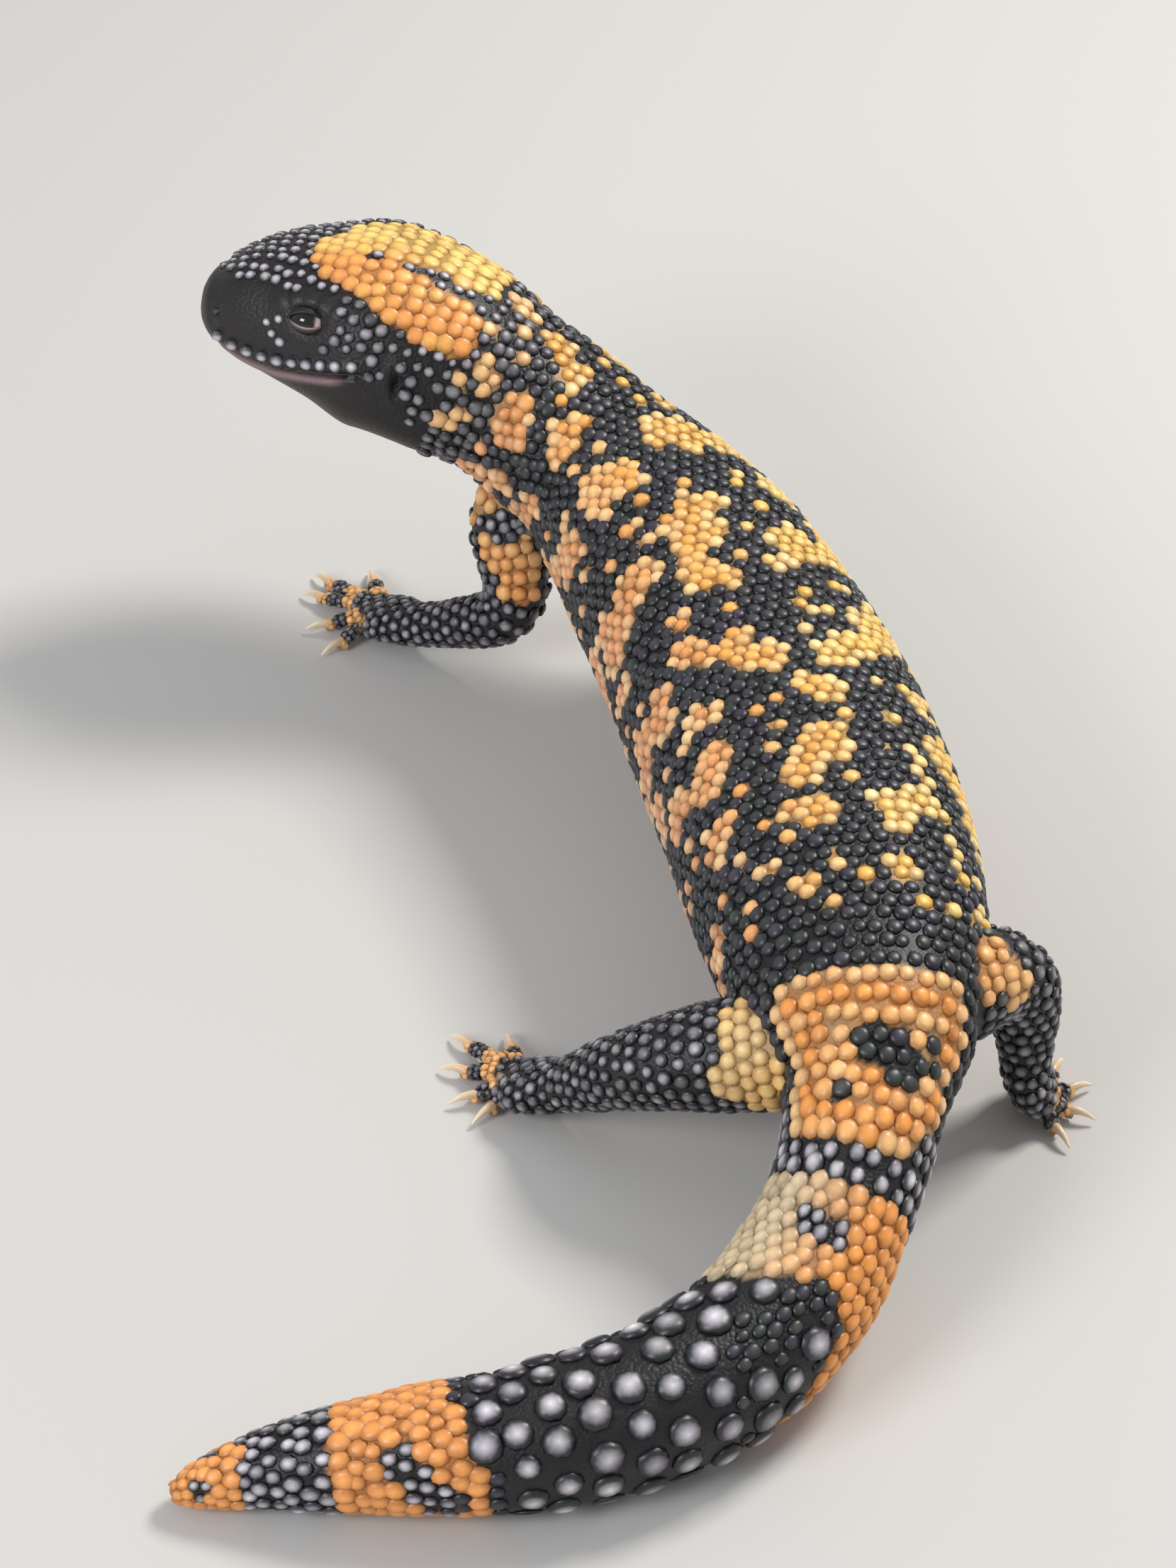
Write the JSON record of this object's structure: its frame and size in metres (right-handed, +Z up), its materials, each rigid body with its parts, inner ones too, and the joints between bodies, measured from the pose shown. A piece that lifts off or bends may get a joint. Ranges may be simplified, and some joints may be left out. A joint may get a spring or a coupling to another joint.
{
  "type": "gila monster",
  "caption": "Life-size still model of a standing Gila monster, a venomous beaded lizard, with its head and tail turned to its left and its skin in orange and black beads.",
  "frame": {"origin": "centre of the model's bounding box in plan, at the level of the soles and the tail's underside", "axes": "+Z up from the floor; +Y the way the hips face, along the trunk; +X to the animal's right at the hips"},
  "size_m": [0.1992, 0.3184, 0.1048],
  "materials": {
    "black_hide": "beaded, satin",
    "orange_hide": "beaded, satin",
    "claw": "smooth horn",
    "eye": "wet gloss"
  },
  "bodies": {
    "root": {"eye_left": "eye", "eye_right": "eye", "fore_left_claw_1": "claw", "fore_left_claw_2": "claw", "fore_left_claw_3": "claw", "fore_left_claw_4": "claw", "fore_left_claw_5": "claw", "fore_left_foot": "black_hide", "fore_left_lower": "black_hide", "fore_left_upper": "black_hide", "fore_right_claw_1": "claw", "fore_right_claw_2": "claw", "fore_right_claw_3": "claw", "fore_right_claw_4": "claw", "fore_right_claw_5": "claw", "fore_right_foot": "black_hide", "fore_right_lower": "black_hide", "fore_right_upper": "black_hide", "head": "black_hide", "hind_left_claw_1": "claw", "hind_left_claw_2": "claw", "hind_left_claw_3": "claw", "hind_left_claw_4": "claw", "hind_left_claw_5": "claw", "hind_left_foot": "black_hide", "hind_left_lower": "black_hide", "hind_left_upper": "black_hide", "hind_right_claw_1": "claw", "hind_right_claw_2": "claw", "hind_right_claw_3": "claw", "hind_right_claw_4": "claw", "hind_right_claw_5": "claw", "hind_right_foot": "black_hide", "hind_right_lower": "black_hide", "hind_right_upper": "black_hide", "lower_jaw": "black_hide", "neck": "orange_hide", "tail_base": "orange_hide", "tail_middle": "black_hide", "tail_rear": "orange_hide", "tail_tip": "orange_hide", "torso_loins": "orange_hide", "torso_middle": "orange_hide", "torso_pelvis": "orange_hide", "torso_shoulders": "orange_hide"}
  },
  "joints": []
}
